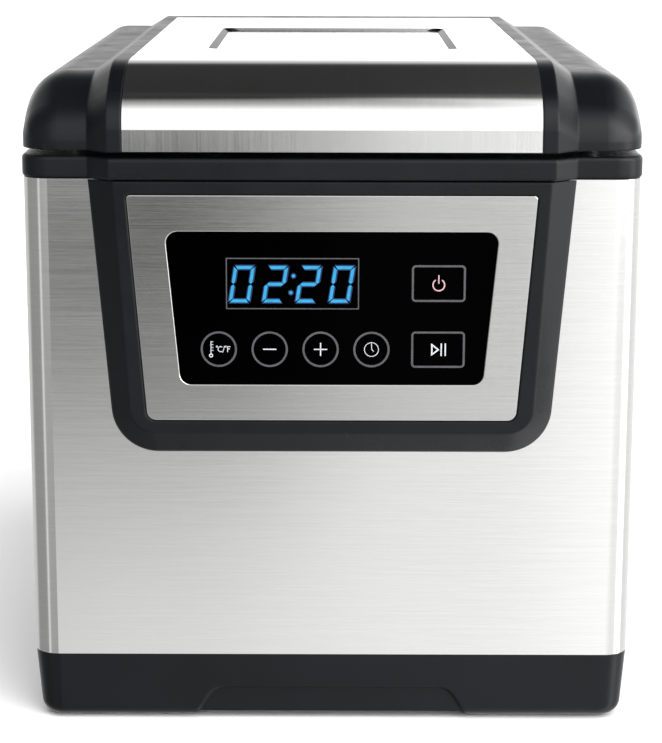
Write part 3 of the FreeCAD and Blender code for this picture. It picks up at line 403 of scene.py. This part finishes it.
DIGIT_WIDE = 8.6
DIGIT_TALL = 15.5
DIGIT_LOW = WINDOW_LOW + 2.9
DIGIT_STEP = 13.95
DIGIT_INSET = 1.15
SLANT = math.tan(math.radians(8.9))
SEGMENT = 1.3
SEGMENT_GAP = 0.26
GLOW = 0.5
COLON_BACK = 2.5
COLON_RISES = (4.2, 11.3)
COLON_RADIUS = 0.68
SHOWN = {"0": "abcdef", "2": "abged"}


def segments(wide, tall, thick, gap):
    """Outlines of the seven segments of an upright figure, mitred where they meet."""
    half = tall / 2
    tip = gap + thick * 0.2
    inner = thick + gap
    waist = half - thick / 2
    flat = [(tip, 0), (wide - tip, 0), (wide - inner, thick), (inner, thick)]
    low_waist = waist - gap / 2
    post = [(0, tip), (thick, inner), (thick, low_waist), (thick / 2, half - gap), (0, low_waist)]
    middle = [(thick / 2 + gap, half), (inner, waist), (wide - inner, waist),
              (wide - thick / 2 - gap, half), (wide - inner, half + thick / 2), (inner, half + thick / 2)]
    return {
        "a": [(x, tall - z) for x, z in flat], "d": flat, "g": middle,
        "e": post, "f": [(x, tall - z) for x, z in post],
        "c": [(wide - x, z) for x, z in post], "b": [(wide - x, tall - z) for x, z in post],
    }


def digit(marks, text, left, grow=0.0):
    """One seven-segment figure, leaning to the right; grow widens its strokes."""
    wide, tall, thick = (size + 2 * grow for size in (DIGIT_WIDE, DIGIT_TALL, SEGMENT))
    shapes = segments(wide, tall, thick, SEGMENT_GAP if grow == 0 else 0.0)
    for name in SHOWN[text]:
        marks.plate([(left - grow + x + z * SLANT, DIGIT_LOW - grow + z) for x, z in shapes[name]])


def clock_face(marks, grow=0.0):
    """The figures of the display, with the two dots between hours and minutes."""
    for place, text in enumerate("0220"):
        digit(marks, text, WINDOW_LEFT + DIGIT_INSET + place * DIGIT_STEP, grow)
    colon = WINDOW_LEFT + DIGIT_INSET + 2 * DIGIT_STEP - COLON_BACK
    for rise in COLON_RISES:
        marks.plate(arc(colon + rise * SLANT, DIGIT_LOW + rise, COLON_RADIUS + grow, steps=20))
    return marks


glow = lit_mark("digit_glow", (0.0, 0.012, 0.06), 0.7)
clock_face(Marks("display_glow", glow, GLOW_LIFT), GLOW).finish()
clock_face(Marks("display_digits", lit_mark("digit_light", (0.007, 0.165, 0.31), 0.9))).finish()

window = Marks("display_window_line", lit_mark("window_line", (0.044, 0.044, 0.048), 0.8))
WINDOW_LINE = 0.45
frame_box(window, WINDOW_LEFT, display_high.x - WINDOW_INSET, WINDOW_LOW, display_high.z - WINDOW_INSET, 0.2,
          WINDOW_LINE)
window.finish()

KEY_RADIUS = 7.65
KEY_LINE = 0.85
BOX_HALF_WIDE = 11.3
BOX_HALF_TALL = 7.8
keys = Marks("key_outlines", lit_mark("key_print", (0.042, 0.042, 0.048), 0.85))
for x in KEY_X:
    keys.ring(arc(x, KEY_Z, KEY_RADIUS, steps=64), arc(x, KEY_Z, KEY_RADIUS - KEY_LINE, steps=64))
for z in (POWER_Z, KEY_Z):
    frame_box(keys, RIGHT_KEY_X - BOX_HALF_WIDE, RIGHT_KEY_X + BOX_HALF_WIDE,
              z - BOX_HALF_TALL, z + BOX_HALF_TALL, 1.7, KEY_LINE)
keys.finish()


def thermometer(marks, x, z):
    """A thermometer with its bulb and four ticks."""
    marks.ring(arc(x, z - 2.75, 0.85, steps=20), arc(x, z - 2.75, 0.45, steps=20))
    marks.bar((x, z - 1.9), (x, z + 3.4), 0.32)
    for step in range(4):
        marks.bar((x, z + 3.2 - 1.25 * step), (x + 1.0, z + 3.2 - 1.25 * step), 0.26)


def degree_units(marks, x, z):
    """The sign for degrees Celsius or Fahrenheit."""
    for left in (x - 0.8, x + 2.85):
        marks.ring(arc(left, z + 1.1, 0.42, steps=12), arc(left, z + 1.1, 0.18, steps=12))
    marks.plate(stroke_arc(x + 0.75, z, 1.1, 0.28, 50, 310))
    marks.bar((x + 1.6, z - 1.5), (x + 2.4, z + 1.3), 0.24)
    marks.bar((x + 3.7, z - 1.3), (x + 3.7, z + 1.3), 0.30)
    marks.bar((x + 3.7, z + 1.1), (x + 4.9, z + 1.1), 0.28)
    marks.bar((x + 3.7, z + 0.1), (x + 4.6, z + 0.1), 0.28)


def clock(marks, x, z):
    """A clock with two hands."""
    marks.ring(arc(x, z, 3.1), arc(x, z, 2.82))
    marks.bar((x, z + 2.7), (x + 0.1, z), 0.28)
    marks.bar((x + 0.1, z + 0.1), (x + 0.9, z - 0.9), 0.28)


def play_pause(marks, x, z):
    """A hollow triangle and two bars."""
    marks.ring([(x - 2.9, z + 2.7), (x - 2.9, z - 2.7), (x + 0.6, z)],
               [(x - 2.3, z + 1.55), (x - 2.3, z - 1.55), (x - 0.35, z)])
    for side in (1.35, 3.05):
        marks.bar((x + side, z - 2.7), (x + side, z + 2.7), 0.55)


icons = Marks("key_symbols", lit_mark("symbol_print", (0.34, 0.36, 0.38), 1.0))
thermometer(icons, KEY_X[0] - 3.3, KEY_Z)
degree_units(icons, KEY_X[0], KEY_Z)
SIGN_HALF = 2.8
SIGN_LINE = 0.48
for x in KEY_X[1:3]:
    icons.bar((x - SIGN_HALF, KEY_Z), (x + SIGN_HALF, KEY_Z), SIGN_LINE)
icons.bar((KEY_X[2], KEY_Z - SIGN_HALF), (KEY_X[2], KEY_Z + SIGN_HALF), SIGN_LINE)
clock(icons, KEY_X[3], KEY_Z)
play_pause(icons, RIGHT_KEY_X, KEY_Z)
icons.finish()

power = Marks("power_symbol", lit_mark("power_light", (0.36, 0.22, 0.23), 1.0))
power.plate(stroke_arc(RIGHT_KEY_X, POWER_Z - 0.6, 2.45, 0.5, 122, 418))
power.bar((RIGHT_KEY_X, POWER_Z), (RIGHT_KEY_X, POWER_Z + 3.6), 0.5)
power.finish()


# ---------------------------------------------------------------- studio

# What the object sees of the studio, as light against an angle in degrees.
# OVER runs from the front horizon (0) over the top (90) to the rear horizon (180).
OVER = [(-90, 1.0), (0, 1.1), (8, 1.35), (46, 1.35), (66, 0.5), (90, 0.05), (110, 0.03), (149, 0.035),
        (153.5, 0.08), (158, 0.42), (163, 0.65), (169, 1.0), (174, 1.5), (180, 1.8)]
# AHEAD lies within twelve degrees of the front, seen high and low on the case.
AHEAD_HIGH = [(-12, 0.06), (-8, 0.06), (-5, 0.08), (-3, 0.12), (-0.5, 0.26), (0.1, 0.58), (0.9, 0.84),
              (2.6, 0.82), (3.3, 0.72), (3.9, 0.48), (4.9, 0.50), (6.1, 0.95), (7.2, 1.2), (12, 1.25)]
AHEAD_LOW = [(-12, 0.76), (-8, 0.78), (-4, 0.72), (-2, 0.80), (0, 0.90), (2.8, 0.95), (4, 0.76), (5.2, 0.86),
             (6.6, 1.12), (12, 1.15)]
# ROUND runs round the object from the rear past the left (-90), the front (0) and the right (90).
ROUND_LOW = [(-180, 0.62), (-124, 0.62), (-116, 0.45), (-108, 0.3), (-62, 0.28), (-53, 0.3), (-49, 0.75),
             (-45, 0.75), (-40, 0.36), (-12, 0.34), (12, 1.1), (30, 0.85), (56, 0.85), (64, 2.6), (82, 2.6),
             (92, 0.8), (165, 1.0), (180, 0.7)]
ROUND_HIGH = [(-180, 1.0), (-124, 1.0), (-112, 0.35), (-40, 0.3), (-16, 1.0), (8, 1.0), (16, 2.8), (30, 4.2),
              (58, 4.5), (86, 4.5), (102, 2.2), (165, 1.5), (180, 1.0)]
BRIGHTEST = 6.0
# where one list takes over from another, in degrees
AHEAD_EDGE = (9.0, 12.0)
LOW_TO_HIGH_AHEAD = (-18.0, -10.5)
LOW_TO_HIGH_ROUND = (-5.0, -1.0)
# away from the middle, by the sideways part of a direction, the ceiling is lighter
SIDE_CEILING = 0.55
SIDE_CEILING_EDGE = (0.3, 0.55)


def light_ramp(tree, angle, stops):
    """The light at an angle, from a list of stops."""
    low, high = stops[0][0], stops[-1][0]
    ramp = tree.nodes.new("ShaderNodeValToRGB")
    elements = ramp.color_ramp.elements
    for _ in stops[2:]:
        elements.new(0.5)
    for element, (place, value) in zip(elements, stops):
        element.position = (place - low) / (high - low)
        element.color = [value / BRIGHTEST] * 3 + [1]
    tree.links.new(spread(tree, angle, 0.0, 1.0, low, high), ramp.inputs["Fac"])
    return combine(tree, "MULTIPLY", ramp.outputs["Color"], BRIGHTEST)


def mix_values(tree, factor, first, second):
    """The first value where factor is 0 and the second where it is 1."""
    node = tree.nodes.new("ShaderNodeMix")
    node.data_type = "FLOAT"
    for socket, value in (("Factor", factor), ("A", first), ("B", second)):
        if isinstance(value, (int, float)):
            node.inputs[socket].default_value = value
        else:
            tree.links.new(value, node.inputs[socket])
    return node.outputs["Result"]


def degrees(tree, up, along):
    """The angle of a direction in one plane."""
    return combine(tree, "MULTIPLY", combine(tree, "ARCTAN2", up, along), 180 / math.pi)


def studio_world():
    """White walls round the object, a dark ceiling, a dim left side and a soft lamp on the right."""
    world = bpy.data.worlds.new("studio")
    bpy.context.scene.world = world
    world.use_nodes = True
    tree = world.node_tree
    background = tree.nodes["Background"]
    source = tree.nodes.new("ShaderNodeTexCoord")
    parts = tree.nodes.new("ShaderNodeSeparateXYZ")
    tree.links.new(source.outputs["Generated"], parts.inputs["Vector"])
    x, y, z = parts.outputs
    front = combine(tree, "MULTIPLY", y, -1.0)
    over = degrees(tree, z, front)
    azimuth = degrees(tree, x, front)
    rise = combine(tree, "MULTIPLY", combine(tree, "ARCSINE", z, 0.0), 180 / math.pi)

    high_ahead = light_ramp(tree, azimuth, AHEAD_HIGH)
    lowness = spread(tree, rise, 1.0, 0.0, *LOW_TO_HIGH_AHEAD)
    ahead = mix_values(tree, lowness, high_ahead, light_ramp(tree, azimuth, AHEAD_LOW))
    sideways = spread(tree, combine(tree, "ABSOLUTE", azimuth, 0.0), 0.0, 1.0, *AHEAD_EDGE)
    below = mix_values(tree, sideways, ahead, light_ramp(tree, azimuth, ROUND_LOW))
    level = spread(tree, rise, 0.0, 1.0, *LOW_TO_HIGH_ROUND)
    around = mix_values(tree, level, below, light_ramp(tree, azimuth, ROUND_HIGH))
    aside = spread(tree, combine(tree, "ABSOLUTE", x, 0.0), 0.0, 1.0, *SIDE_CEILING_EDGE)
    ceiling = mix_values(tree, aside, 0.0, SIDE_CEILING)
    overhead = combine(tree, "MAXIMUM", light_ramp(tree, over, OVER), ceiling)

    # the backdrop itself is plain white
    path = tree.nodes.new("ShaderNodeLightPath")
    reflected = combine(tree, "MULTIPLY", overhead, around)
    strength = mix_values(tree, path.outputs["Is Camera Ray"], reflected, 1.0)
    tree.links.new(strength, background.inputs["Strength"])
    background.inputs["Color"].default_value = (1, 1, 1, 1)


def floor():
    """A pale floor, which the object's gloss doesn't mirror."""
    mesh = bpy.data.meshes.new("floor")
    far = 6.0
    mesh.from_pydata([(-far, -far, 0), (far, -far, 0), (far, far, 0), (-far, far, 0)], [], [(0, 1, 2, 3)])
    piece = bpy.data.objects.new("floor", mesh)
    bpy.context.scene.collection.objects.link(piece)
    material, tree, shader = new_material("pale_floor")
    cloud = noise(tree, EVEN, size=3, detail=3)
    colour = blend_colours(tree, spread(tree, cloud, 0, 1), (0.86, 0.86, 0.86), (0.9, 0.9, 0.9))
    tree.links.new(colour, shader.inputs["Base Color"])
    shader.inputs["Roughness"].default_value = 0.7
    mesh.materials.append(material)
    piece.visible_glossy = False


def soft_sun(name, source, strength, spread_angle=60):
    """An even light from far away that isn't seen in reflections."""
    data = bpy.data.lights.new(name, "SUN")
    data.energy = strength
    data.angle = math.radians(spread_angle)
    piece = bpy.data.objects.new(name, data)
    piece.rotation_euler = Vector(source).to_track_quat("Z", "Y").to_euler()
    piece.visible_glossy = False
    bpy.context.scene.collection.objects.link(piece)


# the camera's place from the front of the rim and the table, in millimetres, and its turns in degrees
CAMERA_LENS = 108.55
CAMERA_ASIDE = 1.33
CAMERA_AWAY = 924.4
CAMERA_HIGH = 363.0
CAMERA_DOWN = 12.39
CAMERA_TURN = 0.10
CAMERA_ROLL = 0.13


def camera():
    """The photograph's view: in front, a little above, looking down by twelve degrees."""
    data = bpy.data.cameras.new("camera")
    data.sensor_width = 36.0
    data.lens = CAMERA_LENS
    piece = bpy.data.objects.new("camera", data)
    rim_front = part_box("top_rim")[0].y
    piece.matrix_world = (
        Matrix.Translation((CAMERA_ASIDE * MM, rim_front - CAMERA_AWAY * MM, CAMERA_HIGH * MM))
        @ Matrix.Rotation(math.radians(CAMERA_TURN), 4, "Z")
        @ Matrix.Rotation(math.radians(90 - CAMERA_DOWN), 4, "X")
        @ Matrix.Rotation(math.radians(CAMERA_ROLL), 4, "Z")
    )
    data.clip_end = 50
    bpy.context.scene.collection.objects.link(piece)
    bpy.context.scene.camera = piece


studio_world()
floor()
soft_sun("overhead", (0.0, -0.25, 1.0), 2.2)
camera()
bpy.context.scene.view_settings.view_transform = "Standard"
